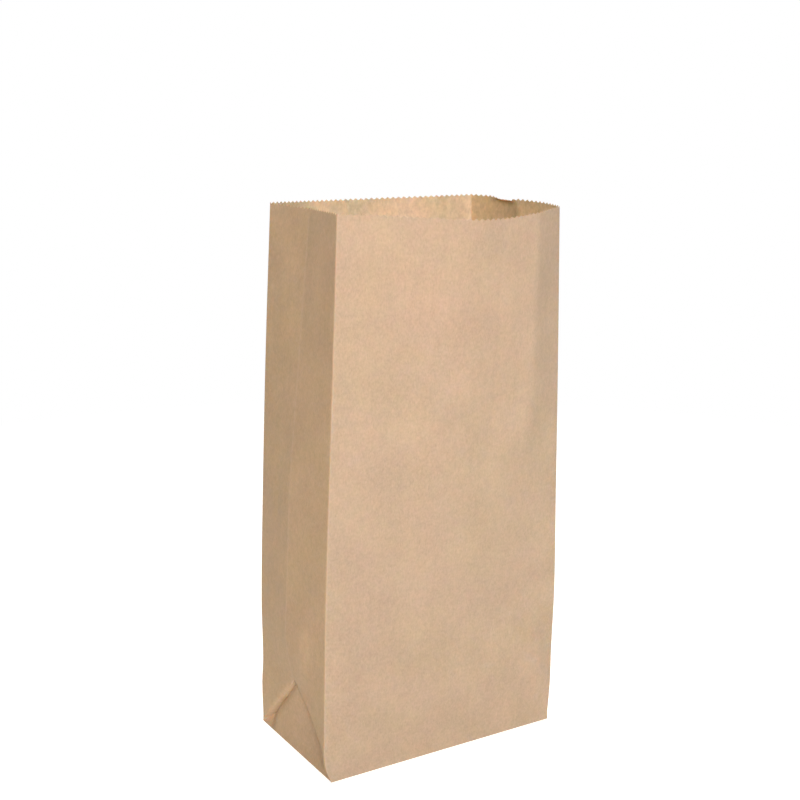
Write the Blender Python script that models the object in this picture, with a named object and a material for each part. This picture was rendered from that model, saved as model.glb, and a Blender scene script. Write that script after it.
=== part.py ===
"""Flat-bottomed brown paper lunch bag, opened and standing by itself.

The bag is one sheet of kraft paper, folded and glued. Each wall is drawn
flat with its creases, folded into place, and thickened inwards by the
paper's own thickness. Glued laps are two or three layers thick.

The origin is at the middle of the bottom, +Z up, and the front is at -Y.
"""
import math

import bmesh
import bpy
import numpy as np
from mathutils import Vector
from mathutils.geometry import delaunay_2d_cdt

MM = 0.001

# Driving dimensions of the folded sheet
WIDTH = 130.0 * MM
DEPTH = 75.5 * MM
HEIGHT = 270.0 * MM
PAPER = 0.12 * MM
FOLD = DEPTH / 2            # the bottom folds flat along creases at this height

# The cut edges are pinked by a serrated knife
TOOTH_DEPTH = 1.0 * MM
WIDTH_TEETH = 42
DEPTH_TEETH = 24

# Glued laps: the lengthwise seam on the back, and the two bottom flaps
SEAM_CENTRE = -4.0 * MM     # x of the seam
SEAM_LAP = 8.0 * MM
SEAM_FADE = 15.0 * MM       # the paper beside the seam lies level again here
BOTTOM_LAP = 16.0 * MM
FLAP = FOLD + BOTTOM_LAP / 2
MAX_LAYERS = 3              # flap, tucked corner and side ear
CUT = 0.1 * MM              # width of the tiny slope at the edge of a layer
BASE_RING = 1.0 * MM        # the bottom's layers start this far from its edge
FLAP_DIVE = 15.0 * MM       # the front flap bends under the rear one over this length

# How a handled bag departs from a true box.
# Each upright fold: (height, x shift, y shift) in mm from the base corner.
UPRIGHTS = {
    "front_left": ((0, 0, 0), (8, -3.2, -0.1), (16, -4.0, -0.2), (40, -3.8, -0.4),
                   (100, -2.5, -0.8), (185, 0.6, -1.6), (270, 3.5, -2.3)),
    "front_right": ((0, 0, 0), (20, 1.3, -0.1), (40, 1.3, -0.3), (75, 1.9, -0.5),
                    (120, 0.8, -0.7), (200, -1.2, -1.0), (270, -3.4, -1.3)),
    "back_right": ((0, 0, 0), (20, 0.8, 0.0), (75, 1.2, -0.2),
                   (150, -0.6, -0.8), (270, -3.9, -2.0)),
    "back_left": ((0, 0, 0), (22, -0.5, -0.3), (36, 0.2, -0.5), (70, -0.2, -1.0),
                  (130, 1.2, -2.2), (200, 3.6, -3.4), (270, 6.6, -5.0)),
    "left_middle": ((37.75, -0.6, -0.7), (44, -2.2, -0.9), (52, -3.9, -1.0),
                    (64, -5.4, -1.2), (90, -4.4, -1.6), (140, -2.3, -2.5),
                    (200, 2.6, -3.7), (270, 8.4, -5.0)),
    "right_middle": ((37.75, -0.4, 0.4), (52, 1.6, 0.5), (66, 2.6, 0.6),
                     (100, 1.8, 0.6), (170, 0.0, -0.4), (270, -4.8, -3.6)),
}
# Height of the rim above HEIGHT at each upright fold, in mm
RIM_RISE = {"front_left": 1.8, "front_right": 0.2, "back_right": 1.2,
            "back_left": 1.5, "left_middle": 1.5, "right_middle": 1.4}
FRONT_BOW = 18.5 * MM       # the mouth is an oval: how far the rims bow out
FRONT_BOW_PEAK = 0.56       # share of the width where the bow is largest
FRONT_SAG = 3.0 * MM        # how much a bowed rim sinks
BACK_BOW = 16.0 * MM
BACK_BOW_PEAK = 0.60        # counted from the right corner
BACK_SAG = 1.4 * MM
BOW_POWER = 1.25            # the bow grows upwards from the bottom crease
CREASE_BULGE = 1.3 * MM     # the front stands out along its bottom crease
CREASE_FADE = 24.0 * MM     # and the bulge dies out upwards over this length
CREASE_ENDS = 0.10          # share of the width at each end where it dies out too
LEFT_TUCK = 1.5 * MM        # how deep the bottom triangles are pushed in
RIGHT_TUCK = 1.2 * MM
LIP = 2.0 * MM              # height of the rolled lip above each triangle
LIP_SPREAD = 0.2            # how much wider the lip gets towards its lower ends
RIGHT_BULGE = 3.0 * MM      # both halves of the right gusset bulge at the rim
BULGE_POWER = 2.2

# The two slanting creases of a gusset rise from the bottom corners to its middle.
# Each crease: (share of the way that it runs along the floor, power of its curve).
STRAIGHT_LEG = (0.0, 1.0)
LEFT_FRONT_LEG = (0.12, 2.9)
FLOOR_RUN = 0.1             # height where a crease leaves the floor, as a share of FOLD
LEG_STEPS = 12
LEG_CLEAR = 2.0 * MM        # the grid keeps this far above and below the creases

# Mesh density
BASE_ROWS = 6
UPPER_ROWS = 13
ROW_GROWTH = 1.3
GUSSET_COLUMNS = 12
WALL_COLUMNS = 14
RIM_STRIP = 6.0 * MM        # the plain band below the teeth
MERGE = 0.001 * MM
CDT_INSIDE = 1              # triangles inside the outline only


def clear_scene():
    for item in list(bpy.data.objects):
        bpy.data.objects.remove(item, do_unlink=True)


def mix(start, end, share):
    return start + (end - start) * share


def clamp(value, low=0.0, high=1.0):
    return max(low, min(high, value))


def smooth_step(share):
    share = clamp(share)
    return share * share * (3 - 2 * share)


def smooth_track(stations, height):
    """Read (height, x, y) stations with a smooth curve through them."""
    heights = [station[0] * MM for station in stations]
    last = len(stations) - 1
    if height <= heights[0]:
        return Vector(stations[0][1:]) * MM
    if height >= heights[last]:
        return Vector(stations[last][1:]) * MM
    index = max(i for i in range(last) if heights[i] <= height)
    before = max(index - 1, 0)
    after = min(index + 2, last)
    points = [Vector(stations[i][1:]) * MM for i in (before, index, index + 1, after)]
    span = heights[index + 1] - heights[index]
    leave = (points[2] - points[0]) * span / (heights[index + 1] - heights[before])
    arrive = (points[3] - points[1]) * span / (heights[after] - heights[index])
    s = (height - heights[index]) / span
    return (points[1] * (2 * s ** 3 - 3 * s ** 2 + 1) + leave * (s ** 3 - 2 * s ** 2 + s)
            + points[2] * (3 * s ** 2 - 2 * s ** 3) + arrive * (s ** 3 - s ** 2))


def base_place(upright):
    """Where an upright fold meets the floor, before any shift."""
    side, place = upright.split("_")
    if place == "middle":
        return Vector((math.copysign(WIDTH / 2, -1 if side == "left" else 1), 0.0))
    x = WIDTH / 2 if place == "right" else -WIDTH / 2
    y = DEPTH / 2 if side == "back" else -DEPTH / 2
    return Vector((x, y))


def upright_place(upright, height):
    return base_place(upright) + smooth_track(UPRIGHTS[upright], height)


def rim_shift(upright, height):
    """The rim is not level; the change fades quickly below it."""
    return RIM_RISE[upright] * MM * clamp(height / HEIGHT) ** 4


def skewed_arch(share, peak):
    """0 at both ends and 1 at peak, with one smooth hump."""
    power = math.log(0.5) / math.log(peak)
    return math.sin(math.pi * clamp(share) ** power)


def crease_bulge(share, height):
    """How far the front stands out round its bottom crease."""
    above = height - FOLD
    profile = math.exp(-above / CREASE_FADE) if above > 0 else 1 + above / FOLD
    ends = smooth_step(share / CREASE_ENDS) * smooth_step((1 - share) / CREASE_ENDS)
    return CREASE_BULGE * profile * ends


def wall_point(wall, share, height):
    """Fold a point of the front or back wall into place."""
    start = upright_place(wall["from"], height)
    end = upright_place(wall["to"], height)
    growth = clamp((height - FOLD) / (HEIGHT - FOLD)) ** BOW_POWER
    arch = skewed_arch(share, wall["peak"])
    place = mix(start, end, share)
    out = wall["bow"] * arch * growth - seam_recess(wall, place.x)
    if wall["creased"]:
        out += crease_bulge(share, height)
    place.y += wall["out"] * out
    rise = mix(rim_shift(wall["from"], height), rim_shift(wall["to"], height), share)
    return Vector((place.x, place.y, height + rise - wall["sag"] * arch * growth ** 2))


def leg_points(gusset, lip):
    """A gusset's slanting creases, or the lip above them: (share of its depth, height)."""
    halves = []
    for run, power in gusset["legs"]:
        half = []
        for step in range(LEG_STEPS + 1):
            up = step / LEG_STEPS
            inwards = run * smooth_step(up / FLOOR_RUN) + (1 - run) * up ** power
            inwards *= 1 - lip * LIP_SPREAD * (1 - inwards)
            half.append((inwards / 2, up * (FOLD + lip * LIP)))
        halves.append(half)
    return halves[0] + [(1 - share, height) for share, height in reversed(halves[1][:-1])]


def height_on(line, share):
    shares, heights = zip(*line)
    return float(np.interp(share, shares, heights))


def gusset_point(gusset, share, height):
    """Fold a point of a side gusset: two halves above, a tucked triangle below."""
    middle_share = 1 - abs(2 * share - 1)
    corner_name = gusset["from"] if share < 0.5 else gusset["to"]
    corner = upright_place(corner_name, height)
    middle = upright_place(gusset["middle"], height)
    half = mix(corner, middle, middle_share)
    growth = clamp((height - FOLD) / (HEIGHT - FOLD)) ** BULGE_POWER
    half.x += gusset["out"] * gusset["bulge"] * growth * math.sin(math.pi * middle_share)
    leg = height_on(leg_points(gusset, 0), share)
    lip = height_on(leg_points(gusset, 1), share)
    if height < lip:
        up = min(height, leg) / FOLD
        flat = mix(base_place(gusset["from"]), base_place(gusset["to"]), share)
        flat += (upright_place(gusset["middle"], FOLD) - base_place(gusset["middle"])) * up
        flat.x -= gusset["out"] * gusset["tuck"] * 4 * up * (1 - up)
        rolled = clamp((height - leg) / max(lip - leg, MERGE))
        half = mix(flat, half, rolled)
    rise = mix(rim_shift(corner_name, height), rim_shift(gusset["middle"], height), middle_share)
    return Vector((half.x, half.y, height + rise))


def seam_layers(wall, x):
    return 2 if wall["seam"] and abs(x - SEAM_CENTRE) < SEAM_LAP / 2 - CUT / 2 else 1


def seam_recess(wall, x):
    """Past the outer lap's free edge the outside lies one paper deeper."""
    edge = SEAM_CENTRE + SEAM_LAP / 2
    if not wall["seam"] or x < edge - CUT / 2:
        return 0.0
    return PAPER * smooth_step(1 - (x - edge) / SEAM_FADE)


FRONT = {"from": "front_left", "to": "front_right", "out": -1, "bow": FRONT_BOW,
         "peak": FRONT_BOW_PEAK, "sag": FRONT_SAG, "creased": True, "seam": False}
BACK = {"from": "back_right", "to": "back_left", "out": 1, "bow": BACK_BOW,
        "peak": BACK_BOW_PEAK, "sag": BACK_SAG, "creased": False, "seam": True}
RIGHT = {"from": "front_right", "to": "back_right", "middle": "right_middle", "out": 1,
         "tuck": RIGHT_TUCK, "bulge": RIGHT_BULGE, "legs": (STRAIGHT_LEG, STRAIGHT_LEG)}
LEFT = {"from": "back_left", "to": "front_left", "middle": "left_middle", "out": -1,
        "tuck": LEFT_TUCK, "bulge": 0.0, "legs": (STRAIGHT_LEG, LEFT_FRONT_LEG)}


def row_heights():
    """Even rows up to the bottom crease, then rows that spread upwards."""
    lower = [FOLD * k / BASE_ROWS for k in range(BASE_ROWS + 1)]
    top = HEIGHT - RIM_STRIP
    upper = [FOLD + (top - FOLD) * (k / UPPER_ROWS) ** ROW_GROWTH
             for k in range(1, UPPER_ROWS + 1)]
    return lower + upper


def notch(distance, pitch):
    """Depth of a pinked edge: none at each tip, TOOTH_DEPTH between two tips."""
    phase = (distance / pitch) % 1.0
    return TOOTH_DEPTH * (1 - abs(1 - 2 * phase))


def half_teeth(start, end, pitch):
    """The places from start to end where a pinked edge turns, and both ends."""
    first = math.floor(2 * start / pitch + 0.01) + 1
    last = math.ceil(2 * end / pitch - 0.01)
    return [start] + [k * pitch / 2 for k in range(first, last)] + [end]


def triangulate(points, lines, outline):
    """Triangulate a flat pattern so that every line in it is a row of edges."""
    flat = [Vector(point) for point in points]
    verts, _, faces, *_ = delaunay_2d_cdt(flat, lines, [outline], CDT_INSIDE, MERGE / 10)
    return verts, faces


class Pattern:
    """A flat drawing of points and crease lines."""

    def __init__(self):
        self.points = []
        self.lines = []

    def line(self, points):
        first = len(self.points)
        self.points.extend(points)
        ends = range(first, len(self.points) - 1)
        self.lines.extend((i, i + 1) for i in ends)
        return list(range(first, len(self.points)))


def panel_pattern(length, columns, teeth, creases, is_clear):
    """A wall laid flat: its grid where it is clear, its pinked top edge and its creases."""
    pattern = Pattern()
    rows = row_heights()
    pitch = length / teeth
    rim = [(a, HEIGHT - notch(a, pitch)) for a in half_teeth(0.0, length, pitch)]
    bottom = pattern.line([(a, 0.0) for a in columns])
    right = pattern.line([(length, h) for h in rows[1:]])
    top = pattern.line(list(reversed(rim)))
    left = pattern.line([(0.0, h) for h in reversed(rows[1:])])
    for height in rows[1:]:
        pattern.points.extend((a, height) for a in columns[1:-1] if is_clear(a, height))
    for crease in creases:
        pattern.line(crease)
    return triangulate(pattern.points, pattern.lines, bottom + right + top + left)


def even_columns(length, count):
    return [length * k / count for k in range(count + 1)]


def seam_columns():
    """Two columns at each free edge of the seam, as distances along the back wall."""
    edges = (SEAM_CENTRE - SEAM_LAP / 2, SEAM_CENTRE + SEAM_LAP / 2)
    return [WIDTH / 2 - edge + side for edge in edges for side in (-CUT, CUT)]


def wall_columns(wall):
    columns = even_columns(WIDTH, WALL_COLUMNS)
    return sorted(columns + seam_columns()) if wall["seam"] else columns


def add_faces(bm, layers, verts, faces, place, layer_count):
    """Put a folded pattern into the mesh, and note how many layers each point has."""
    made = []
    for flat in verts:
        vert = bm.verts.new(place(flat))
        vert[layers] = layer_count(flat)
        made.append(vert)
    for face in faces:
        bm.faces.new([made[i] for i in face])


def add_wall(bm, layers, wall):
    creases = []
    if wall["seam"]:
        creases = [[(a, h) for h in row_heights()] for a in seam_columns()]
    verts, faces = panel_pattern(WIDTH, wall_columns(wall), WIDTH_TEETH, creases,
                                 lambda along, height: True)

    def place(flat):
        return wall_point(wall, flat.x / WIDTH, flat.y)

    def layer_count(flat):
        return seam_layers(wall, WIDTH / 2 - flat.x) if flat.y > CUT else 1

    add_faces(bm, layers, verts, faces, place, layer_count)


def add_gusset(bm, layers, gusset):
    legs, lips = leg_points(gusset, 0), leg_points(gusset, 1)
    creases = [[(DEPTH * share, height) for share, height in line] for line in (legs, lips)]
    creases.append([(DEPTH / 2, h) for h in row_heights() if h > FOLD + LIP])
    columns = even_columns(DEPTH, GUSSET_COLUMNS)

    def is_clear(along, height):
        share = along / DEPTH
        below, above = height_on(legs, share), height_on(lips, share)
        return height < below - LEG_CLEAR or height > above + LEG_CLEAR

    verts, faces = panel_pattern(DEPTH, columns, DEPTH_TEETH, creases, is_clear)
    add_faces(bm, layers, verts, faces,
              lambda flat: gusset_point(gusset, flat.x / DEPTH, flat.y), lambda flat: 1)


def flap_covers(x, reach):
    """Whether a bottom flap covers x, at this distance from its own fold."""
    free_edge = FLAP - notch(x + WIDTH / 2, WIDTH / WIDTH_TEETH)
    return abs(x) < WIDTH / 2 - reach and reach < free_edge


def ear_covers(x, y):
    """The gussets' own flaps lie inside, against both sides."""
    free_edge = FLAP - notch(y + DEPTH / 2, DEPTH / DEPTH_TEETH)
    return WIDTH / 2 - abs(x) < free_edge


def bottom_outside(x, y):
    """Height of the bottom's underside: the rear flap is outermost."""
    if flap_covers(x, DEPTH / 2 - y):
        return 0.0
    front_reach = DEPTH / 2 + y
    if flap_covers(x, front_reach):
        return PAPER * smooth_step(front_reach / FLAP_DIVE)
    return 2 * PAPER * clamp((WIDTH / 2 - abs(x)) / BASE_RING)


def bottom_layers(x, y):
    """Paper layers in the bottom, counted as thickness over one paper."""
    outside = bottom_outside(x, y)
    if ear_covers(x, y):
        top = MAX_LAYERS * PAPER
    elif flap_covers(x, DEPTH / 2 - y) and flap_covers(x, DEPTH / 2 + y):
        top = 2 * PAPER
    else:
        top = outside + PAPER
    border = min(WIDTH / 2 - abs(x), DEPTH / 2 - abs(y))
    return mix(1.0, (top - outside) / PAPER, clamp(border / BASE_RING))


def bottom_pattern():
    """The bottom seen from below: its flaps' and ears' edges as double lines."""
    pattern = Pattern()
    width_pitch = WIDTH / WIDTH_TEETH
    depth_pitch = DEPTH / DEPTH_TEETH
    loop = []
    for wall in (FRONT, BACK):
        points = [wall_point(wall, a / WIDTH, 0.0).xy for a in wall_columns(wall)]
        loop.append(points[:-1])
    for gusset in (RIGHT, LEFT):
        points = [gusset_point(gusset, a / DEPTH, 0.0).xy
                  for a in even_columns(DEPTH, GUSSET_COLUMNS)]
        loop.append(points[:-1])
    outline = pattern.line(loop[0] + loop[2] + loop[1] + loop[3])
    ring_x = WIDTH / 2 - BASE_RING
    ring_y = DEPTH / 2 - BASE_RING
    pattern.line([(-ring_x, -ring_y), (ring_x, -ring_y), (ring_x, ring_y),
                  (-ring_x, ring_y), (-ring_x, -ring_y)])
    inner_x = WIDTH / 2 - FLAP
    across = half_teeth(WIDTH / 2 - inner_x, WIDTH / 2 + inner_x, width_pitch)
    along = half_teeth(BASE_RING, DEPTH - BASE_RING, depth_pitch)
    for side in (-CUT / 2, CUT / 2):
        for rear in (1, -1):
            free = [(a - WIDTH / 2, rear * (DEPTH / 2 - FLAP + notch(a, width_pitch)) + side)
                    for a in across]
            corner = (WIDTH / 2, rear * DEPTH / 2)
            pattern.line([(-corner[0], corner[1])] + free + [corner])
        for right in (1, -1):
            pattern.line([(right * (inner_x + notch(a, depth_pitch)) + side, a - DEPTH / 2)
                          for a in along])
    return triangulate(pattern.points, pattern.lines, outline)


def add_bottom(bm, layers):
    verts, faces = bottom_pattern()
    add_faces(bm, layers, verts, [reversed(face) for face in faces],
              lambda flat: Vector((flat.x, flat.y, bottom_outside(flat.x, flat.y))),
              lambda flat: bottom_layers(flat.x, flat.y))


def kraft_paper():
    material = bpy.data.materials.new("brown_kraft_paper")
    material.use_nodes = True
    shader = material.node_tree.nodes["Principled BSDF"]
    shader.inputs["Base Color"].default_value = (0.56, 0.38, 0.22, 1.0)
    shader.inputs["Roughness"].default_value = 0.85
    shader.inputs["Metallic"].default_value = 0.0
    return material


def make_bag():
    mesh = bpy.data.meshes.new("paper_bag")
    bm = bmesh.new()
    layers = bm.verts.layers.float.new("layers")
    for wall in (FRONT, BACK):
        add_wall(bm, layers, wall)
    for gusset in (LEFT, RIGHT):
        add_gusset(bm, layers, gusset)
    add_bottom(bm, layers)
    bmesh.ops.remove_doubles(bm, verts=bm.verts, dist=MERGE)
    bm.verts.index_update()
    counts = [vert[layers] for vert in bm.verts]
    bm.to_mesh(mesh)
    bm.free()
    mesh.materials.append(kraft_paper())
    bag = bpy.data.objects.new("paper_bag", mesh)
    bpy.context.scene.collection.objects.link(bag)
    thicken(bag, counts)
    return bag


def thicken(bag, counts):
    """Give the folded sheet its paper thickness, more where layers are glued."""
    group = bag.vertex_groups.new(name="layers")
    for index, count in enumerate(counts):
        group.add([index], count / MAX_LAYERS, "REPLACE")
    solidify = bag.modifiers.new("paper_thickness", "SOLIDIFY")
    solidify.thickness = MAX_LAYERS * PAPER
    solidify.offset = -1.0
    solidify.use_even_offset = True
    solidify.vertex_group = group.name
    solidify.thickness_vertex_group = 0.0


clear_scene()
make_bag()
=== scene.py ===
"""Brown paper lunch bag: the finished sheet, its kraft paper, and the studio.

The sheet has the same named sizes and folds as the CAD part. It is drawn on a
finer grid, with rounded folds, soft dents and the marks of handling, and it
stands for the CAD node.
"""

import math

import bmesh
import bpy
import numpy as np
from mathutils import Matrix, Vector, noise
from mathutils.geometry import delaunay_2d_cdt


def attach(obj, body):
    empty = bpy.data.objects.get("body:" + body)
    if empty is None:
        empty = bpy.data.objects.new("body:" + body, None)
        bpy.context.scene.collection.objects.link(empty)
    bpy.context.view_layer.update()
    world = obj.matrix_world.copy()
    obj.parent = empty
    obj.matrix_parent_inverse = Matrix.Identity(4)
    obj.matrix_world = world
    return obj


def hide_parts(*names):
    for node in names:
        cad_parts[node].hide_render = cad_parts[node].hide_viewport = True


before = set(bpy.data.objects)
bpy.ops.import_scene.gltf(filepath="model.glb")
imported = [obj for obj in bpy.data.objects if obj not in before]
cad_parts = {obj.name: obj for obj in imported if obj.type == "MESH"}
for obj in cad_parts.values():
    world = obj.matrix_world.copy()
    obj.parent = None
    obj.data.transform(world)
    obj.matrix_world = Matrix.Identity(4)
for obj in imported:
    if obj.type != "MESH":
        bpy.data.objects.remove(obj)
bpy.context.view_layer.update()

MM = 0.001

# The folded sheet
WIDTH = 130.0 * MM
DEPTH = 75.5 * MM
HEIGHT = 270.0 * MM
PAPER = 0.12 * MM
FOLD = DEPTH / 2            # the bottom folds flat along creases at this height
FOLD_RADIUS = 0.9 * MM
FOLD_EASE = 4.0 * MM        # the upright folds are sharp on the floor and round above this
TOOTH_DEPTH = 1.0 * MM
WIDTH_TEETH = 42
DEPTH_TEETH = 24
SEAM_CENTRE = -4.0 * MM
SEAM_LAP = 8.0 * MM
SEAM_FADE = 15.0 * MM       # the step at the lap's free edge levels out over this distance
BOTTOM_LAP = 16.0 * MM
FLAP = FOLD + BOTTOM_LAP / 2
FLAP_DIVE = 15.0 * MM       # the front flap sinks under the rear one over this distance
MAX_LAYERS = 3
CUT = 0.1 * MM              # a free edge is drawn as a step of this width
BASE_RING = 1.0 * MM        # the bottom thins to one layer within this border

# Each upright fold: (height, x shift, y shift) in mm from its place on the base
UPRIGHTS = {
    "front_left": ((0, 0, 0), (8, -3.2, -0.1), (16, -4.0, -0.2), (40, -3.8, -0.4),
                   (100, -2.5, -0.8), (185, 0.6, -1.6), (270, 3.5, -2.3)),
    "front_right": ((0, 0, 0), (20, 1.3, -0.1), (40, 1.3, -0.3), (75, 1.9, -0.5),
                    (120, 0.8, -0.7), (200, -1.2, -1.0), (270, -3.4, -1.3)),
    "back_right": ((0, 0, 0), (20, 0.8, 0.0), (75, 1.2, -0.2),
                   (150, -0.6, -0.8), (270, -3.9, -2.0)),
    "back_left": ((0, 0, 0), (22, -0.5, -0.3), (36, 0.2, -0.5), (70, -0.2, -1.0),
                  (130, 1.2, -2.2), (200, 3.6, -3.4), (270, 6.6, -5.0)),
    "left_middle": ((37.75, -0.6, -0.7), (44, -2.2, -0.9), (52, -3.9, -1.0),
                    (64, -5.4, -1.2), (90, -4.4, -1.6), (140, -2.3, -2.5),
                    (200, 2.6, -3.7), (270, 8.4, -5.0)),
    "right_middle": ((37.75, -0.4, 0.4), (52, 1.6, 0.5), (66, 2.6, 0.6),
                     (100, 1.8, 0.6), (170, 0.0, -0.8), (270, -3.6, -5.6)),
}
BASES = {
    "front_left": (-WIDTH / 2, -DEPTH / 2), "front_right": (WIDTH / 2, -DEPTH / 2),
    "back_right": (WIDTH / 2, DEPTH / 2), "back_left": (-WIDTH / 2, DEPTH / 2),
    "left_middle": (-WIDTH / 2, 0.0), "right_middle": (WIDTH / 2, 0.0),
}
RIM_RISE = {"front_left": 1.8, "front_right": 0.2, "back_right": 1.2,
            "back_left": 1.5, "left_middle": 1.5, "right_middle": 1.4}   # mm at the rim
RISE_POWER = 4

# How far a bowed rim stands out along its wall: (share of the width, share of the bow)
FRONT_ARCH = ((0, 0), (0.12, 0.21), (0.28, 0.53), (0.36, 0.71), (0.45, 0.89), (0.53, 0.99),
              (0.60, 0.985), (0.66, 0.90), (0.72, 0.74), (0.84, 0.36), (0.93, 0.13), (1, 0))
BACK_ARCH = ((0, 0), (0.15, 0.20), (0.32, 0.58), (0.50, 0.92), (0.62, 1.0),
             (0.76, 0.84), (0.90, 0.40), (1, 0))
BOW_POWER = 1.25
RIGHT_BULGE = 3.0 * MM      # both halves of the right gusset bulge at the rim
BULGE_POWER = 2.2

# Soft dents and ridges: (wall, mm along, height mm, length mm, width mm, tilt degrees, depth mm)
RELIEF = (
    ("front", 52, 176, 90, 22, -62, 2.0),
    ("front", 98, 62, 26, 6, 20, -0.5),
    ("front", 112, 58, 34, 8, -32, -0.5),
    ("front", 30, 110, 40, 20, 90, -0.6),
    ("back", 50, 170, 50, 14, 70, -0.8),
    ("back", 95, 110, 40, 12, 105, 0.6),
    ("left", 22, 120, 70, 6, 90, -0.5),
    ("left", 17, 225, 70, 14, 90, 0.6),
    ("left", 52, 62, 50, 16, 70, 0.8),
    ("left", 14, 70, 24, 6, 80, 0.5),
    ("left", 60, 70, 22, 6, 95, -0.4),
    ("right", 20, 150, 60, 7, 88, -0.5),
    ("right", 56, 90, 50, 8, 92, 0.5),
)
COCKLE = ((46 * MM, 0.30 * MM), (17 * MM, 0.07 * MM))   # (wavelength, height) of waviness
COCKLE_STRETCH = 0.45       # the waves are longer upwards, so they are read at this rate
CALM_SIDE = 7.0 * MM        # dents and waves die out this close to a fold
CALM_FLOOR = 12.0 * MM      # and this close to the floor

# The crosswise crease of the front wall, and the bulge above it
CREASE_LINE = ((0, 46.0), (45, 45.5), (70, 44.0), (104, 40.0), (130, 36.3))   # mm along, mm up
CREASE_DEPTH = 0.20 * MM
CREASE_WIDTH = 1.1 * MM
CREASE_BULGE = 3.8 * MM
CREASE_FADE = 15.0 * MM     # the bulge fades upwards over this distance
CREASE_EASE = 0.10          # and over this share of the width at each fold

# The upright bend near the front wall's right fold
BEND_START = 84.0 * MM
BEND_LINE = 107.0 * MM
BEND_OUT = 5.2 * MM
BEND_LOW = 112.0 * MM       # the bend fades in between these heights
BEND_HIGH = 185.0 * MM
BEND_ROUND = 0.07           # how softly the two sides of the bend meet

# A gusset's slanting creases: (share a crease runs along the floor, power of its curve,
# share of its height where it leaves the upright fold)
STRAIGHT_LEG = (0.0, 1.0, 0.0)
LEFT_FRONT_LEG = (0.06, 1.25, 0.36)
LEG_STEPS = 24
FLOOR_RUN = 0.1             # a crease leaves the floor below this share of FOLD
LIP_HEIGHT = 2.0 * MM       # the paper rolls over above a slanting crease
LIP_SPREAD = 0.2            # how much wider the lip gets towards its lower ends
LIP_LINES = (0.0, 0.35, 1.0)    # lines drawn across the rolled lip, as shares of it
GROOVE_WIDTH = 2.4 * MM
GROOVE_EASE = 0.12          # the groove and the pinch fade in over these shares of FOLD
PINCH_EASE = 0.04

# A rim's inward curl: (shares where it starts, is full, fades and ends, height, angle)
NO_CURL = (0.4, 0.5, 0.6, 0.7, 10 * MM, 0.0)
RIGHT_CURL = (0.50, 0.57, 0.69, 0.86, 4.5 * MM, -1.25)
# A pinch in the tucked triangle: (depth, its place and its reach as shares of the gusset)
NO_PINCH = (0.0, 0.5, 0.1)
LEFT_PINCH = (2.6 * MM, 0.09, 0.06)

PANEL = {"length": WIDTH, "teeth": WIDTH_TEETH, "seam": False}
GUSSET = {"length": DEPTH, "teeth": DEPTH_TEETH, "seam": False}
WALLS = (
    {**PANEL, "name": "front", "start": "front_left", "end": "front_right", "out": -1,
     "bow": 18.5 * MM, "arch": FRONT_ARCH, "sag": 3.0 * MM, "seed": 3.1},
    {**GUSSET, "name": "right", "start": "front_right", "end": "back_right",
     "middle": "right_middle", "out": 1, "legs": (STRAIGHT_LEG, STRAIGHT_LEG),
     "tuck": 1.0 * MM, "groove": 1.0 * MM, "pinch": NO_PINCH,
     "bulge": RIGHT_BULGE, "curl": RIGHT_CURL, "seed": 11.7},
    {**PANEL, "name": "back", "start": "back_right", "end": "back_left", "out": 1,
     "bow": 16.0 * MM, "arch": BACK_ARCH, "sag": 1.4 * MM, "seam": True, "seed": 23.9},
    {**GUSSET, "name": "left", "start": "back_left", "end": "front_left",
     "middle": "left_middle", "out": -1, "legs": (STRAIGHT_LEG, LEFT_FRONT_LEG),
     "tuck": 1.7 * MM, "groove": 2.0 * MM, "pinch": LEFT_PINCH,
     "bulge": 0.0, "curl": NO_CURL, "seed": 37.3},
)

# The grid on which the flat walls are drawn
GRID = 2.1 * MM
TOOTH_STEPS = 4             # points along each tooth
RIM_STRIP = 1.7 * MM
RIM_ROWS = 7                # closer rows below the rim
RIM_ROW = 1.0 * MM
FOLD_COLUMNS = (0.34, 0.67, 1.0)    # closer columns beside a fold, in fold radii
FOLD_CLEAR = 1.6            # the even columns keep this many fold radii away
MERGE = 0.001 * MM
CDT_INSIDE = 1              # delaunay_2d_cdt: triangles inside the outline only
CDT_MERGE = MERGE / 10
HALF_TOOTH_SLACK = 0.01     # keeps a tip that lies on an end from being drawn twice
SHARP_ANGLE = math.radians(38)
WEAR_AND_HIGHLIGHT_REACH = 1.2 * MM       # how far the wear and painted highlight along a fold spread

# Kraft paper. Noise: (waves per metre, detail, stretch)
PAPER_NOISE = {
    "clouds": (52, 3.0, (1.0, 0.85, 1.0)),
    "mottle": (330, 2.0, (1.0, 0.85, 1.0)),
    "grain": (900, 2.0, (1.0, 0.8, 1.0)),
    "streaks": (420, 2.0, (1.0, 0.05, 1.0)),
    "hue": (30, 2.0, (1.0, 1.0, 1.0)),
    # patchiness of the wear and painted highlight along the folds
    "wear_and_highlight": (330, 2.0, (1.0, 1.0, 1.0)),
}
NOISE_SPAN = (0.3, 0.7)     # nearly all of the noise lies between these
HUE_SPAN = (0.35, 0.65)
HUE_DRIFT = 0.005
MOTTLE_SHARE = 0.8          # of the clouds' strength
GRAIN_TONE = 0.048
STREAK_TONE = 0.008
# A painted warm shade on the gussets: the paper is the same as the panels', and this darkens the
# sides as if they were shaded
GUSSET_PAINTED_SHADE = (0.97, 0.90, 0.78, 1.0)
DARK_FIBRE = 0.72
LIGHT_FIBRE = 1.22
FIBRE_TURNS = (0.3, -0.5, 1.2, 1.9)     # radians: dark, light, dark and light fibres
FIBRE_SCALE = 3200
FIBRE_STRETCH = (1.0, 0.12, 1.0)
FIBRE_SPAN = (0.66, 0.78)   # only the peaks of the noise show as fibres
FIBRE_STRENGTH = 0.40
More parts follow.
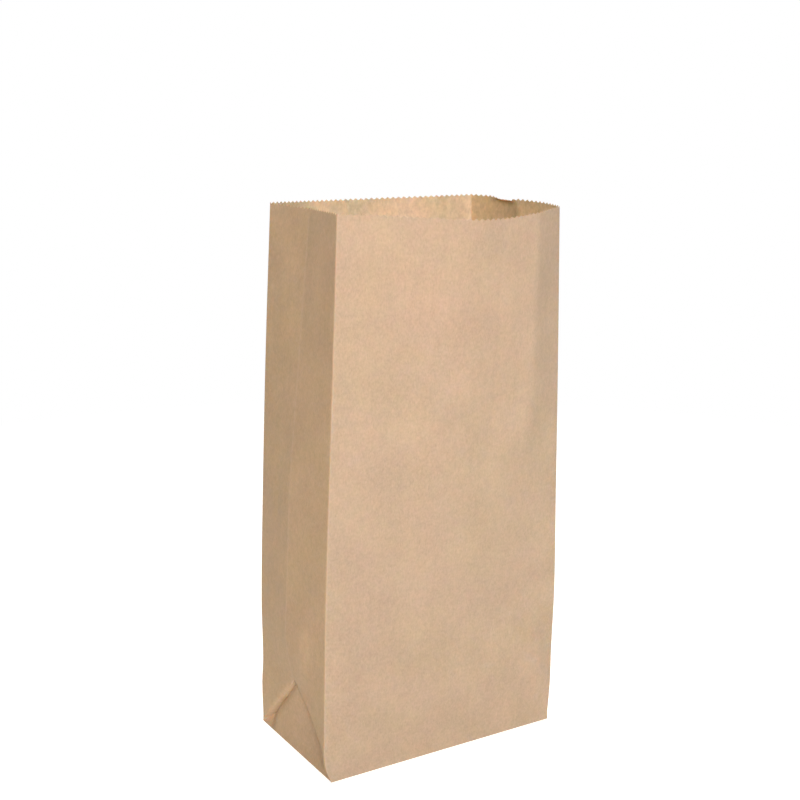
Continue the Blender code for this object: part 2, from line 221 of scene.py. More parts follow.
# how sharply the wear and painted highlight fall away from a fold
WEAR_AND_HIGHLIGHT_POWER = 2.2
WEAR_AND_HIGHLIGHT_LEAST = 0.35           # the wear and painted highlight along a fold are patchy
ROUGHNESS_SWING = 0.05
SUBSURFACE_RADIUS = (1.0, 0.58, 0.30)
SUBSURFACE_SCALE = 0.16 * MM
BUMP_SHARES = {"clouds": 0.8, "grain": 0.5, "streaks": 0.35}
BUMP_STRENGTH = 0.35
BUMP_DISTANCE = 0.12 * MM

# The studio
WHITE = (1.0, 1.0, 1.0, 1.0)
FLOOR_SIZE = 8.0
FLOOR_COLOUR = (0.74, 0.71, 0.66, 1.0)
FLOOR_ROUGHNESS = 0.95
FADE_START = 0.25           # the floor turns into plain white between these distances
FADE_END = 0.75
FLOOR_LIFT = 0.66           # what the camera sees on top of the floor's own light
SKY_LIGHT = 0.13
SKY_COLOUR = (1.0, 0.78, 0.48, 1.0)     # warm, to keep the shaded side from going bluish
# Softboxes: (name, azimuth, elevation, distance, size, power)
LAMPS = (
    ("front_softbox", -26, 22, 2.6, 0.8, 64),
    ("rear_softbox", 165, 42, 1.6, 1.0, 26),
)

# The camera was fitted to the photograph's base corners and rim
CAMERA_PLACE = (-337.6 * MM, -543.5 * MM, 321.6 * MM)
CAMERA_AZIMUTH = -31.51
CAMERA_ELEVATION = 13.04
CAMERA_ROLL = 0.29
CAMERA_CLIP = 0.01
SENSOR = 36.0
FOCAL_PIXELS = 1315
PHOTO_PIXELS = 800
LENS = FOCAL_PIXELS / PHOTO_PIXELS * SENSOR


def smooth_step(share):
    share = np.clip(share, 0.0, 1.0)
    return share * share * (3 - 2 * share)


def between(start, end, share):
    return start + (end - start) * share


def smooth_curve(stations, at):
    """Read rows of (place, values...) with a cubic curve through them."""
    table = np.array(stations, float)
    places, values = table[:, 0], table[:, 1:]
    before = np.maximum(np.arange(len(places)) - 1, 0)
    after = np.minimum(np.arange(len(places)) + 1, len(places) - 1)
    slopes = (values[after] - values[before]) / (places[after] - places[before])[:, None]
    at = np.clip(at, places[0], places[-1])
    row = np.clip(np.searchsorted(places, at, side="right") - 1, 0, len(places) - 2)
    span = (places[row + 1] - places[row])[:, None]
    s = ((at - places[row])[:, None]) / span
    return (values[row] * (2 * s ** 3 - 3 * s ** 2 + 1)
            + slopes[row] * span * (s ** 3 - 2 * s ** 2 + s)
            + values[row + 1] * (3 * s ** 2 - 2 * s ** 3)
            + slopes[row + 1] * span * (s ** 3 - s ** 2))


def upright_place(name, height):
    """Where an upright fold stands at these heights."""
    return np.array(BASES[name]) + smooth_curve(UPRIGHTS[name], height / MM) * MM


def rim_shift(name, height):
    """How far the rise at an upright fold's rim lifts the paper."""
    return RIM_RISE[name] * MM * np.clip(height / HEIGHT, 0, 1) ** RISE_POWER


def above_fold(height, power):
    """0 up to the bottom's creases and 1 at the rim."""
    return np.clip((height - FOLD) / (HEIGHT - FOLD), 0, 1) ** power


def crease_height(along):
    return smooth_curve(CREASE_LINE, along / MM)[:, 0] * MM


def front_crease(along, height):
    """How far the front wall stands out round its crosswise crease."""
    line = crease_height(along)
    above = height - line
    dent = CREASE_DEPTH * np.exp(-(above / CREASE_WIDTH) ** 2)
    bulge = np.where(above > 0, np.exp(-np.abs(above) / CREASE_FADE), height / line)
    share = along / WIDTH
    ends = smooth_step(share / CREASE_EASE) * smooth_step((1 - share) / CREASE_EASE)
    return CREASE_BULGE * np.clip(bulge, 0, 1) * ends - dent


def front_bend(along, height):
    """The upright bend that turns the front wall's right strip away."""
    left = (along - BEND_START) / (BEND_LINE - BEND_START)
    right = (WIDTH - along) / (WIDTH - BEND_LINE)
    rounded = -BEND_ROUND * np.logaddexp(-left / BEND_ROUND, -right / BEND_ROUND)
    shown = smooth_step((height - BEND_LOW) / (BEND_HIGH - BEND_LOW))
    return BEND_OUT * np.clip(rounded, 0, 1) * shown


def dents(wall, along, height):
    """Sum of the soft dents and ridges on a wall."""
    total = np.zeros(len(along))
    for name, dent_along, dent_height, length, width, tilt, depth in RELIEF:
        if name != wall["name"]:
            continue
        turn = math.radians(tilt)
        x, y = along - dent_along * MM, height - dent_height * MM
        lengthwise = (x * math.cos(turn) + y * math.sin(turn)) / (length / 2 * MM)
        across = (y * math.cos(turn) - x * math.sin(turn)) / (width / 2 * MM)
        total += depth * MM * np.exp(-lengthwise ** 2 - across ** 2)
    return total


def cockle(wall, along, height):
    """Slight waviness of the paper."""
    total = np.zeros(len(along))
    for size, depth in COCKLE:
        for i, (a, h) in enumerate(zip(along, height)):
            place = Vector((a / size, h / size * COCKLE_STRETCH, wall["seed"]))
            total[i] += depth * noise.noise(place)
    return total


def relief(wall, along, height):
    """Everything that lifts a wall off its plain folded shape, outwards."""
    edge = np.minimum(along, wall["length"] - along)
    calm = smooth_step(edge / CALM_SIDE) * smooth_step(height / CALM_FLOOR)
    soft = (dents(wall, along, height) + cockle(wall, along, height)) * calm
    if wall["name"] == "front":
        soft += front_crease(along, height) + front_bend(along, height)
    return soft


def seam_recess(wall, x):
    """Past the outer lap's free edge the outside lies one paper deeper."""
    if not wall["seam"]:
        return np.zeros(len(x))
    edge = SEAM_CENTRE + SEAM_LAP / 2
    return np.where(x < edge - CUT / 2, 0.0, PAPER * smooth_step(1 - (x - edge) / SEAM_FADE))


def seam_layers(wall, x):
    inside = np.abs(x - SEAM_CENTRE) < SEAM_LAP / 2 - CUT / 2
    return np.where(inside & wall["seam"], 2.0, 1.0)


def panel_place(wall, along, height):
    """Fold a point of the front or back wall into place."""
    share = along / WIDTH
    start = upright_place(wall["start"], height)
    end = upright_place(wall["end"], height)
    growth = above_fold(height, BOW_POWER)
    arch = smooth_curve(wall["arch"], share)[:, 0]
    flat = between(start, end, share[:, None])
    recess = seam_recess(wall, flat[:, 0])
    out = wall["bow"] * arch * growth - recess + relief(wall, along, height)
    rise = between(rim_shift(wall["start"], height), rim_shift(wall["end"], height), share)
    return np.column_stack([flat[:, 0], flat[:, 1] + wall["out"] * out,
                            height + rise - wall["sag"] * arch * growth ** 2])


def leg_points(wall, lip):
    """A gusset's slanting creases, or the lip above them: (share of its depth, height)."""
    halves = []
    for run, power, start in wall["legs"]:
        up = np.linspace(0, 1, LEG_STEPS + 1)
        slant = np.clip((up - start) / (1 - start), 0, 1) ** power
        inwards = run * smooth_step(up / FLOOR_RUN) + (1 - run) * slant
        inwards = inwards * (1 - lip * LIP_SPREAD * (1 - inwards))
        halves.append(np.column_stack([inwards / 2, up * (FOLD + lip * LIP_HEIGHT)]))
    second = halves[1][-2::-1]
    return np.concatenate([halves[0], np.column_stack([1 - second[:, 0], second[:, 1]])])


def height_on(line, share):
    return np.interp(share, line[:, 0], line[:, 1])


def middle_share(share):
    """0 at a gusset's two outer folds and 1 at its middle one."""
    return 1 - np.abs(2 * share - 1)


def rim_curl(wall, share, height):
    """The rim of a gusset leaning inwards over a short stretch: its shift out and up."""
    start, full, fading, end, tall, angle = wall["curl"]
    growing = smooth_step((share - start) / (full - start))
    shrinking = smooth_step((end - share) / (end - fading))
    turn = angle * growing * shrinking
    turn = np.where(np.abs(turn) < MERGE, MERGE, turn)
    length = np.maximum(height - (HEIGHT - tall), 0)
    radius = tall / turn
    return radius * (1 - np.cos(length / radius)), radius * np.sin(length / radius) - length


def tuck_depth(wall, share, up, below_leg):
    """How deep the bottom triangle is pushed in: most along its two upper creases."""
    plain = wall["tuck"] * 4 * up * (1 - up)
    groove = wall["groove"] * np.exp(-np.maximum(below_leg, 0) / GROOVE_WIDTH)
    depth, place, reach = wall["pinch"]
    pinch = depth * np.exp(-((share - place) / reach) ** 2)
    return plain + groove * smooth_step(up / GROOVE_EASE) + pinch * smooth_step(up / PINCH_EASE)


def upper_half(wall, share, height, outwards):
    """Where a gusset stands above its slanting creases."""
    corner = np.where((share < 0.5)[:, None], upright_place(wall["start"], height),
                      upright_place(wall["end"], height))
    half = between(corner, upright_place(wall["middle"], height), middle_share(share)[:, None])
    growth = above_fold(height, BULGE_POWER)
    bulge = wall["bulge"] * growth * np.sin(math.pi * middle_share(share))
    half[:, 0] += wall["out"] * (bulge + outwards)
    return half


def tucked_triangle(wall, share, height, leg):
    """Where a gusset lies below its slanting creases."""
    up = np.minimum(height, leg) / FOLD
    flat = between(np.array(BASES[wall["start"]]), np.array(BASES[wall["end"]]), share[:, None])
    apex_shift = upright_place(wall["middle"], np.array([FOLD]))[0] - BASES[wall["middle"]]
    flat += apex_shift * up[:, None]
    flat[:, 0] -= wall["out"] * tuck_depth(wall, share, up, leg - height)
    return flat


def gusset_rise(wall, share, height):
    corner = np.where(share < 0.5, rim_shift(wall["start"], height),
                      rim_shift(wall["end"], height))
    return between(corner, rim_shift(wall["middle"], height), middle_share(share))


def gusset_place(wall, along, height):
    """Fold a point of a side gusset: two halves above, a tucked triangle below."""
    share = along / DEPTH
    leg = height_on(leg_points(wall, 0), share)
    lip = height_on(leg_points(wall, 1), share)
    outwards, upwards = rim_curl(wall, share, height)
    rolled = np.clip((height - leg) / np.maximum(lip - leg, MERGE), 0, 1)
    rolled = np.where(height < lip, np.sqrt(1 - (1 - rolled) ** 2), 1.0)[:, None]
    place = between(tucked_triangle(wall, share, height, leg),
                    upper_half(wall, share, height, outwards), rolled)
    place[:, 0] += wall["out"] * relief(wall, along, height) * rolled[:, 0]
    return np.column_stack([place, height + gusset_rise(wall, share, height) + upwards])


def wall_place(wall, along, height):
    fold = gusset_place if "middle" in wall else panel_place
    return fold(wall, along, height)


def sheet_place(index, along, height):
    """A point of the folded sheet, with its upright folds rounded."""
    wall = WALLS[index]
    place = wall_place(wall, along, height)
    radius = FOLD_RADIUS * smooth_step(height / FOLD_EASE)
    for end, turn in ((0.0, -1), (wall["length"], 1)):
        near = np.abs(along - end) < radius
        if not near.any():
            continue
        other = WALLS[(index + turn) % len(WALLS)]
        r, h = radius[near], height[near]
        s = ((1 - np.abs(along[near] - end) / r) / 2)[:, None]
        own = wall_place(wall, np.abs(end - r), h)
        far = wall_place(other, np.abs((other["length"] if turn < 0 else 0.0) - r), h)
        corner = wall_place(wall, np.full(len(h), end), h)
        place[near] = corner + (own - corner) * (1 - s) ** 2 + (far - corner) * s ** 2
    return place


def notch(distance, pitch):
    """Depth of a pinked edge: none at each tip, TOOTH_DEPTH between two tips."""
    phase = (distance / pitch) % 1.0
    return TOOTH_DEPTH * (1 - abs(1 - 2 * phase))


def even_steps(length, step):
    return np.linspace(0, length, max(2, round(length / step) + 1))


def row_heights():
    """Even rows below and above the bottom's creases, and closer ones below the rim."""
    lower = even_steps(FOLD, GRID)
    top = HEIGHT - RIM_STRIP - RIM_ROW * np.arange(RIM_ROWS)[::-1]
    upper = FOLD + even_steps(top[0] - GRID - FOLD, GRID)[1:]
    return np.concatenate([lower, upper, top])


def seam_columns():
    edges = (SEAM_CENTRE - SEAM_LAP / 2, SEAM_CENTRE + SEAM_LAP / 2)
    return [WIDTH / 2 - edge + side for edge in edges for side in (-CUT, CUT)]


def wall_columns(wall):
    """Even columns, closer ones at the folds, and two at each free edge of the seam."""
    near = FOLD_RADIUS * np.array(FOLD_COLUMNS)
    clear = FOLD_RADIUS * FOLD_CLEAR
    inner = even_steps(wall["length"], GRID)
    inner = inner[(inner > clear) & (inner < wall["length"] - clear)]
    columns = [np.array([0.0, wall["length"]]), near, wall["length"] - near, inner]
    if wall["seam"]:
        columns.append(np.array(seam_columns()))
    return np.unique(np.concatenate(columns))


class Pattern:
    """A flat drawing of points and crease lines."""

    def __init__(self):
        self.points = []
        self.lines = []

    def line(self, points):
        first = len(self.points)
        self.points.extend((float(x), float(y)) for x, y in points)
        self.lines.extend((i, i + 1) for i in range(first, len(self.points) - 1))
        return list(range(first, len(self.points)))

    def triangles(self, outline):
        flat = [Vector(point) for point in self.points]
        verts, _, faces, *_ = delaunay_2d_cdt(flat, self.lines, [outline], CDT_INSIDE, CDT_MERGE)
        return np.array([v[:] for v in verts]), faces


def wall_pattern(wall):
    """A wall laid flat: its grid, its pinked top edge and its creases."""
    length, rows, columns = wall["length"], row_heights(), wall_columns(wall)
    pattern = Pattern()
    pitch = length / wall["teeth"]
    steps = np.linspace(0, length, wall["teeth"] * TOOTH_STEPS + 1)
    rim = [(a, HEIGHT - notch(a, pitch)) for a in steps]
    bottom = pattern.line([(a, 0.0) for a in columns])
    right = pattern.line([(length, h) for h in rows[1:]])
    top = pattern.line(rim[::-1])
    left = pattern.line([(0.0, h) for h in rows[:0:-1]])
    for height in rows[1:]:
        pattern.points.extend((float(a), float(height)) for a in columns[1:-1])
    if wall["seam"]:
        for a in seam_columns():
            pattern.line([(a, h) for h in rows])
    if "middle" in wall:
        for lip in LIP_LINES:
            pattern.line(leg_points(wall, lip) * (length, 1.0))
        pattern.line([(length / 2, h) for h in rows if h >= FOLD])
    return pattern.triangles(bottom + right + top + left)


def distance_to_line(points, start, end):
    start, end = np.array(start), np.array(end)
    way = end - start
    share = np.clip((points - start) @ way / (way @ way), 0, 1)
    return np.linalg.norm(points - start - share[:, None] * way, axis=1)


def wall_wear_and_highlight(wall, flat):
    """1 on a fold, 0 a little way from it: where the folds are worn and painted with a
    highlight.
    """
    length = wall["length"]
    gaps = [flat[:, 0], length - flat[:, 0]]
    if "middle" in wall:
        # along the gussets' rolled lips the light line is a painted highlight on the ridge as
        # well as wear
        lip = leg_points(wall, LIP_LINES[1]) * (length, 1.0)
        gaps.extend(distance_to_line(flat, start, end) for start, end in zip(lip, lip[1:]))
        gaps.append(distance_to_line(flat, (length / 2, FOLD), (length / 2, HEIGHT)))
    if wall["name"] == "front":
        gaps.append(np.abs(flat[:, 1] - crease_height(flat[:, 0])))
    return np.clip(1 - np.min(gaps, axis=0) / WEAR_AND_HIGHLIGHT_REACH, 0, 1)


class Sheet:
    """Collects the folded walls and the bottom, with what the paper needs to know."""

    def __init__(self):
        self.bm = bmesh.new()
        self.layers = self.bm.verts.layers.float.new("layers")
        # how worn each point's fold is, and how strongly it is painted with a highlight
        self.wear_and_highlight = self.bm.verts.layers.float.new("wear_and_highlight")
        self.uv = self.bm.loops.layers.uv.new("sheet")

    def add(self, places, faces, layers, wear_and_highlight, flat):
        made = []
        for place, count, worn_and_lit in zip(places, layers, wear_and_highlight):
            vert = self.bm.verts.new(place)
            vert[self.layers] = count
            vert[self.wear_and_highlight] = worn_and_lit
            made.append(vert)
        for face in faces:
            new = self.bm.faces.new([made[i] for i in face])
            for loop, i in zip(new.loops, face):
                loop[self.uv].uv = flat[i]


def add_wall(sheet, index, offset):
    wall = WALLS[index]
    flat, faces = wall_pattern(wall)
    places = sheet_place(index, flat[:, 0], flat[:, 1])
    layers = np.where(flat[:, 1] > CUT, seam_layers(wall, WIDTH / 2 - flat[:, 0]), 1.0)
    sheet.add(places, faces, layers, wall_wear_and_highlight(wall, flat), flat + np.array([offset, 0.0]))


def flap_covers(x, reach):
    """Whether a bottom flap covers x, at this distance from its own fold."""
    free_edge = FLAP - notch(x + WIDTH / 2, WIDTH / WIDTH_TEETH)
    return abs(x) < WIDTH / 2 - reach and reach < free_edge


def ear_covers(x, y):
    """Whether the folded-in end of a gusset covers this point of the bottom."""
    free_edge = FLAP - notch(y + DEPTH / 2, DEPTH / DEPTH_TEETH)
    return WIDTH / 2 - abs(x) < free_edge


def bottom_outside(x, y):
    """Height of the bottom's underside: the rear flap is outermost."""
    if flap_covers(x, DEPTH / 2 - y):
        return 0.0
    front_reach = DEPTH / 2 + y
    if flap_covers(x, front_reach):
        return PAPER * float(smooth_step(front_reach / FLAP_DIVE))
    return 2 * PAPER * min(1.0, max(0.0, (WIDTH / 2 - abs(x)) / BASE_RING))


def bottom_layers(x, y):
    """Paper layers in the bottom, counted as thickness over one paper."""
    outside = bottom_outside(x, y)
    if ear_covers(x, y):
        top = MAX_LAYERS * PAPER
    elif flap_covers(x, DEPTH / 2 - y) and flap_covers(x, DEPTH / 2 + y):
        top = 2 * PAPER
    else:
        top = outside + PAPER
    border = min(WIDTH / 2 - abs(x), DEPTH / 2 - abs(y))
    return between(1.0, (top - outside) / PAPER, min(1.0, max(0.0, border / BASE_RING)))


def half_teeth(start, end, pitch):
    """The tips and notches of a pinked edge from start to end."""
    first = math.floor(2 * start / pitch + HALF_TOOTH_SLACK) + 1
    last = math.ceil(2 * end / pitch - HALF_TOOTH_SLACK)
    return [start] + [k * pitch / 2 for k in range(first, last)] + [end]


def bottom_free_edges():
    """The free edges of the bottom's flaps and ears, each as a double line."""
    inner_x = WIDTH / 2 - FLAP
    width_pitch, depth_pitch = WIDTH / WIDTH_TEETH, DEPTH / DEPTH_TEETH
    across = half_teeth(WIDTH / 2 - inner_x, WIDTH / 2 + inner_x, width_pitch)
    along = half_teeth(BASE_RING, DEPTH - BASE_RING, depth_pitch)
    for side in (-CUT / 2, CUT / 2):
        for rear in (1, -1):
            free = [(a - WIDTH / 2, rear * (DEPTH / 2 - FLAP + notch(a, width_pitch)) + side)
                    for a in across]
            corner = (WIDTH / 2, rear * DEPTH / 2)
            yield [(-corner[0], corner[1])] + free + [corner]
        for right in (1, -1):
            yield [(right * (inner_x + notch(a, depth_pitch)) + side, a - DEPTH / 2)
                   for a in along]


def bottom_pattern():
    """The bottom seen from below: its outline, the ring inside it and the free edges."""
    pattern = Pattern()
    loop = []
    for index, wall in enumerate(WALLS):
        columns = wall_columns(wall)
        loop.extend(sheet_place(index, columns, np.zeros(len(columns)))[:-1, :2])
    outline = pattern.line(loop)
    ring_x, ring_y = WIDTH / 2 - BASE_RING, DEPTH / 2 - BASE_RING
    pattern.line([(-ring_x, -ring_y), (ring_x, -ring_y), (ring_x, ring_y),
                  (-ring_x, ring_y), (-ring_x, -ring_y)])
    for edge in bottom_free_edges():
        pattern.line(edge)
    return pattern.triangles(outline)


def add_bottom(sheet):
    flat, faces = bottom_pattern()
    places = [(x, y, bottom_outside(x, y)) for x, y in flat]
    layers = [bottom_layers(x, y) for x, y in flat]
    border = np.minimum(WIDTH / 2 - np.abs(flat[:, 0]), DEPTH / 2 - np.abs(flat[:, 1]))
    # the bottom's border is worn and painted with a highlight like the folds
    wear_and_highlight = np.clip(1 - border / WEAR_AND_HIGHLIGHT_REACH, 0, 1)
    downward = [face[::-1] for face in faces]
    sheet.add(places, downward, layers, wear_and_highlight, flat - np.array([0.0, DEPTH]))


def build_sheet():
    """The folded sheet as one mesh without thickness, and its layer counts."""
    sheet = Sheet()
    offset = 0.0
    for index, wall in enumerate(WALLS):
        add_wall(sheet, index, offset)
        offset += wall["length"]
    add_bottom(sheet)
    bmesh.ops.remove_doubles(sheet.bm, verts=sheet.bm.verts, dist=MERGE)
    mesh = bpy.data.meshes.new("lunch_bag_sheet")
    counts = [vert[sheet.layers] for vert in sheet.bm.verts]
    sheet.bm.to_mesh(mesh)
    sheet.bm.free()
    return mesh, counts


def add_thickness(sheet, counts):
    """Make the sheet as thick as its layers, with slots for the inside and the cut edge."""
    group = sheet.vertex_groups.new(name="layers")
    for index, count in enumerate(counts):
        group.add([index], count / MAX_LAYERS, "REPLACE")
    solidify = sheet.modifiers.new("paper_thickness", "SOLIDIFY")
    solidify.thickness = MAX_LAYERS * PAPER
    solidify.offset = -1.0
    solidify.use_even_offset = True
    solidify.vertex_group = group.name
    solidify.thickness_vertex_group = 0.0
    solidify.material_offset = 1
    solidify.material_offset_rim = 2


def thicken(mesh, counts, materials):
    """Turn the sheet into closed paper with an outside, an inside and a cut edge."""
    sheet = bpy.data.objects.new("lunch_bag_flat", mesh)
    bpy.context.scene.collection.objects.link(sheet)
    for material in materials:
        mesh.materials.append(material)
    add_thickness(sheet, counts)
    bpy.context.view_layer.update()
    solid = sheet.evaluated_get(bpy.context.evaluated_depsgraph_get())
    finished = bpy.data.meshes.new_from_object(solid)
    bpy.data.objects.remove(sheet, do_unlink=True)
    finished.name = "lunch_bag"
    finished.shade_smooth()
    finished.set_sharp_from_angle(angle=SHARP_ANGLE)
    return finished


class Nodes:
    """Short names for building a node tree."""

    def __init__(self, tree):
        self.tree = tree

    def add(self, kind, settings=None, **inputs):
        node = self.tree.nodes.new(kind)
        for name, value in (settings or {}).items():
            setattr(node, name, value)
        for name, value in inputs.items():
            self.feed(node.inputs[name], value)
        return node

    def feed(self, socket, value):
        if isinstance(value, bpy.types.NodeSocket):
            self.tree.links.new(value, socket)
        else:
            socket.default_value = value

    def math(self, operation, first, second, third=0.0):
        node = self.add("ShaderNodeMath", {"operation": operation})
        for socket, value in zip(node.inputs, (first, second, third)):
            self.feed(socket, value)
        return node.outputs[0]

    def span(self, value, low, high, start, end):
        """Map low to high onto start to end."""
        node = self.add("ShaderNodeMapRange")
        for name, number in (("Value", value), ("From Min", low), ("From Max", high),
                             ("To Min", start), ("To Max", end)):
            self.feed(node.inputs[name], number)
        return node.outputs["Result"]

    def blend(self, factor, first, second, kind="MIX"):
        node = self.add("ShaderNodeMix", {"data_type": "RGBA", "blend_type": kind})
        self.feed(node.inputs[0], factor)
        self.feed(node.inputs[6], first)
        self.feed(node.inputs[7], second)
        return node.outputs[2]

    def sheet_noise(self, scale, detail, stretch, turn=0.0):
        """Noise on the flat sheet. scale is in waves per metre."""
        coordinates = self.add("ShaderNodeUVMap", {"uv_map": "sheet"}).outputs["UV"]
        mapping = self.add("ShaderNodeMapping", Vector=coordinates, Rotation=(0, 0, turn),
                           Scale=stretch)
        field = self.add("ShaderNodeTexNoise", {"noise_dimensions": "2D"},
                         Vector=mapping.outputs["Vector"], Scale=scale, Detail=detail)
        return field.outputs["Fac"]

    def gusset_shade_share(self):
        """1 on the gussets, which take a painted warm shade that darkens them against the
        panels, and 0 on the panels.
        """
        coordinates = self.add("ShaderNodeTexCoord").outputs["UV"]
        across = self.add("ShaderNodeSeparateXYZ", Vector=coordinates).outputs["X"]
        return self.math("GREATER_THAN", self.math("MODULO", across, WIDTH + DEPTH), WIDTH)

    def seen(self):
        """1 for what the camera or a reflection sees, and 0 for light."""
        path = self.add("ShaderNodeLightPath")
        return self.math("MAXIMUM", path.outputs["Is Camera Ray"], path.outputs["Is Glossy Ray"])

    def glow(self, strength):
        """White light sent out by the surface itself."""
        lit = self.add("ShaderNodeEmission", Color=WHITE, Strength=strength)
        return lit.outputs["Emission"]


def new_material(name):
    material = bpy.data.materials.new(name)
    material.use_nodes = True
    nodes = Nodes(material.node_tree)
    return material, nodes, nodes.tree.nodes["Principled BSDF"]


def shade(colour, factor):
    return tuple(min(1.0, part * factor) for part in colour) + (1.0,)


def paper_tone(nodes, fields, cloud):
    """How light the paper is from place to place, round 1."""
    tone = 1.0
    for name, strength in (("clouds", cloud), ("mottle", MOTTLE_SHARE * cloud),
                           ("grain", GRAIN_TONE), ("streaks", STREAK_TONE)):
        swing = nodes.span(fields[name], *NOISE_SPAN, -1.0, 1.0)
        tone = nodes.math("MULTIPLY_ADD", swing, strength, tone)
    return tone


def paper_hue(nodes, fields, colour, warmth):
    """A colour that drifts between slightly pinkish and slightly greenish."""
    red, green, blue = colour
    pinkish = (red * (1 + HUE_DRIFT), green * (1 - HUE_DRIFT), blue, 1.0)
    greenish = (red * (1 - HUE_DRIFT), green * (1 + HUE_DRIFT), blue * (1 - warmth), 1.0)
    return nodes.blend(nodes.span(fields["hue"], *HUE_SPAN, 0.0, 1.0), pinkish, greenish)


def add_fibres(nodes, base, colour):
    """Short thin fibres, dark and light, each kind lying one way."""
    dark, light = shade(colour, DARK_FIBRE), shade(colour, LIGHT_FIBRE)
    for turn, fibre in zip(FIBRE_TURNS, (dark, light, dark, light)):
        field = nodes.sheet_noise(FIBRE_SCALE, 1.0, FIBRE_STRETCH, turn)
        specks = nodes.span(field, *FIBRE_SPAN, 0.0, 1.0)
        base = nodes.blend(nodes.math("MULTIPLY", specks, FIBRE_STRENGTH), base, fibre)
    return base


def add_wear_and_highlight(nodes, fields, base, colour, wear_and_highlight_strength):
    """Light patches along the folds: partly wear from handling, partly a painted highlight where
    the fold edges and the gussets' lips catch the light.
    """
    wear_and_highlight = nodes.add("ShaderNodeAttribute", {"attribute_name": "wear_and_highlight"}).outputs["Fac"]
    patchy = nodes.span(fields["wear_and_highlight"], *NOISE_SPAN, WEAR_AND_HIGHLIGHT_LEAST, 1.0)
    worn_and_lit = nodes.math("MULTIPLY", nodes.math("POWER", wear_and_highlight, WEAR_AND_HIGHLIGHT_POWER), patchy)
    worn_and_lit = nodes.math("MULTIPLY", worn_and_lit, wear_and_highlight_strength)
    return nodes.blend(worn_and_lit, base, shade(colour, LIGHT_FIBRE))


def paper_bump(nodes, fields):
    height = nodes.math("MULTIPLY", fields["clouds"], BUMP_SHARES["clouds"])
    for name in ("grain", "streaks"):
        height = nodes.math("MULTIPLY_ADD", fields[name], BUMP_SHARES[name], height)
    bump = nodes.add("ShaderNodeBump", Height=height, Strength=BUMP_STRENGTH,
                     Distance=BUMP_DISTANCE)
    return bump.outputs["Normal"]


def kraft_paper(name, colour, cloud, warmth, roughness, gloss, wear_and_highlight_strength):
    """Unbleached kraft: cloudy formation, grain, fibres, a painted warm shade on the gussets,
    and wear with a painted highlight along the folds.

    cloud is how strong the clouds are, warmth how much blue the greenish parts lose, and the
    strength of the fold lines how much lighter the folds are made, as wear and as a painted
    highlight.
    """
    material, nodes, shader = new_material(name)
    fields = {kind: nodes.sheet_noise(*row) for kind, row in PAPER_NOISE.items()}
    base = paper_hue(nodes, fields, colour, warmth)
    # Painted shade: the gussets are multiplied by a darker, warmer tint
    base = nodes.blend(nodes.gusset_shade_share(), base, GUSSET_PAINTED_SHADE, "MULTIPLY")
    base = nodes.blend(1.0, base, paper_tone(nodes, fields, cloud), "MULTIPLY")
    base = add_fibres(nodes, base, colour)
    base = add_wear_and_highlight(nodes, fields, base, colour, wear_and_highlight_strength)
    rough = nodes.span(fields["clouds"], *NOISE_SPAN, roughness - ROUGHNESS_SWING,
                       roughness + ROUGHNESS_SWING)
    for socket, value in (("Base Color", base), ("Roughness", rough),
                          ("Specular IOR Level", gloss), ("Subsurface Weight", 1.0),
                          ("Subsurface Radius", SUBSURFACE_RADIUS),
                          ("Subsurface Scale", SUBSURFACE_SCALE),
                          ("Normal", paper_bump(nodes, fields))):
        nodes.feed(shader.inputs[socket], value)
    return material


def bag_materials():
    outside = kraft_paper("kraft_outside", (0.565, 0.424, 0.310), cloud=0.045, warmth=0.03,
                          roughness=0.62, gloss=0.12, wear_and_highlight_strength=0.35)
    # The inside is lighter and cloudier than the outside; its stronger clouds are partly painted
    # light, the formation as it shows with light coming through the paper
    inside = kraft_paper("kraft_inside", (0.64, 0.510, 0.362), cloud=0.110, warmth=0.08,
                         roughness=0.62, gloss=0.12, wear_and_highlight_strength=0.30)
    edge = kraft_paper("kraft_cut_edge", (0.74, 0.560, 0.400), cloud=0.050, warmth=0.03,
                       roughness=0.90, gloss=0.20, wear_and_highlight_strength=0.0)
    return outside, inside, edge


def make_bag():
    mesh, counts = build_sheet()
    solid = thicken(mesh, counts, bag_materials())
    bag = bpy.data.objects.new("lunch_bag", solid)
    bpy.context.scene.collection.objects.link(bag)
    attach(bag, "root")
    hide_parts("paper_bag")
    return bag


def floor_material():
    """A floor that takes the bag's shadow and fades into plain white further out."""
    material, nodes, shader = new_material("studio_floor")
    shader.inputs["Base Color"].default_value = FLOOR_COLOUR
    shader.inputs["Roughness"].default_value = FLOOR_ROUGHNESS
    shader.inputs["Specular IOR Level"].default_value = 0.0
    reach = nodes.add("ShaderNodeVectorMath", {"operation": "LENGTH"})
    nodes.feed(reach.inputs[0], nodes.add("ShaderNodeTexCoord").outputs["Object"])
    fade = nodes.span(reach.outputs["Value"], FADE_START, FADE_END, 0.0, 1.0)
    seen = nodes.seen()
    lifted = nodes.add("ShaderNodeAddShader")
    nodes.feed(lifted.inputs[0], shader.outputs["BSDF"])
    nodes.feed(lifted.inputs[1], nodes.glow(nodes.math("MULTIPLY", seen, FLOOR_LIFT)))
    mixed = nodes.add("ShaderNodeMixShader")
    nodes.feed(mixed.inputs[0], nodes.math("MULTIPLY", fade, seen))
    nodes.feed(mixed.inputs[1], lifted.outputs["Shader"])
    nodes.feed(mixed.inputs[2], nodes.glow(1.0))
    output = nodes.tree.nodes["Material Output"]
    nodes.feed(output.inputs["Surface"], mixed.outputs["Shader"])
    return material


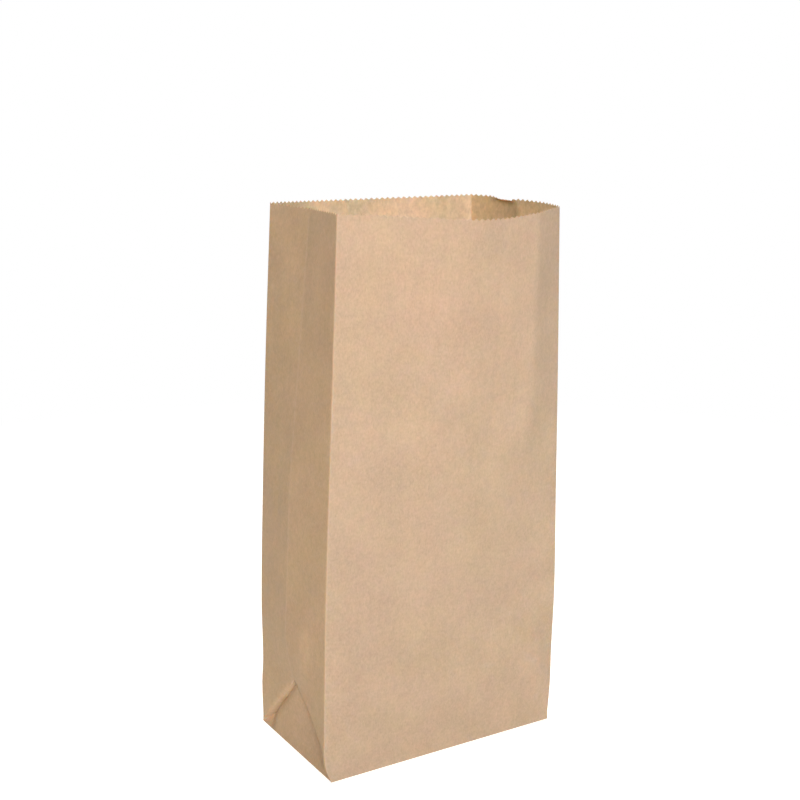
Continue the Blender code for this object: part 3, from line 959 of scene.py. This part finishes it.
def make_floor():
    mesh = bpy.data.meshes.new("floor")
    half = FLOOR_SIZE / 2
    corners = [(-half, -half, 0), (half, -half, 0), (half, half, 0), (-half, half, 0)]
    mesh.from_pydata(corners, [], [(0, 1, 2, 3)])
    mesh.materials.append(floor_material())
    floor = bpy.data.objects.new("floor", mesh)
    bpy.context.scene.collection.objects.link(floor)


def make_sky():
    """A dim warm sky, which the camera and reflections see as plain white."""
    world = bpy.data.worlds.new("studio")
    world.use_nodes = True
    bpy.context.scene.world = world
    nodes = Nodes(world.node_tree)
    seen = nodes.seen()
    sky = nodes.tree.nodes["Background"]
    nodes.feed(sky.inputs["Color"], nodes.blend(seen, SKY_COLOUR, WHITE))
    nodes.feed(sky.inputs["Strength"], nodes.span(seen, 0.0, 1.0, SKY_LIGHT, 1.0))


def direction(azimuth, elevation):
    """The way out from the bag. Azimuth 0 is in front of it, and 90 to its right."""
    a, e = math.radians(azimuth), math.radians(elevation)
    return Vector((math.sin(a) * math.cos(e), -math.cos(a) * math.cos(e), math.sin(e)))


def add_lamp(name, azimuth, elevation, distance, size, power):
    """A square softbox that faces the middle of the bag."""
    way = direction(azimuth, elevation)
    lamp = bpy.data.lights.new(name, "AREA")
    lamp.shape = "SQUARE"
    lamp.size = size
    lamp.energy = power
    softbox = bpy.data.objects.new(name, lamp)
    bpy.context.scene.collection.objects.link(softbox)
    softbox.location = way * distance + Vector((0, 0, HEIGHT / 2))
    softbox.rotation_euler = way.to_track_quat("Z", "Y").to_euler()


def make_camera():
    back = direction(CAMERA_AZIMUTH, CAMERA_ELEVATION)
    level = Vector((0, 0, 1)).cross(back).normalized()
    upright = back.cross(level)
    roll = math.radians(CAMERA_ROLL)
    right = level * math.cos(roll) + upright * math.sin(roll)
    up = upright * math.cos(roll) - level * math.sin(roll)
    data = bpy.data.cameras.new("camera")
    data.sensor_width = SENSOR
    data.lens = LENS
    data.clip_start = CAMERA_CLIP
    camera = bpy.data.objects.new("camera", data)
    bpy.context.scene.collection.objects.link(camera)
    camera.matrix_world = Matrix((
        (right.x, up.x, back.x, CAMERA_PLACE[0]),
        (right.y, up.y, back.y, CAMERA_PLACE[1]),
        (right.z, up.z, back.z, CAMERA_PLACE[2]),
        (0, 0, 0, 1)))
    bpy.context.scene.camera = camera


make_camera()
bag = make_bag()
make_floor()
make_sky()
for lamp_row in LAMPS:
    add_lamp(*lamp_row)
bpy.context.scene.view_settings.view_transform = "Standard"

bpy.context.view_layer.update()
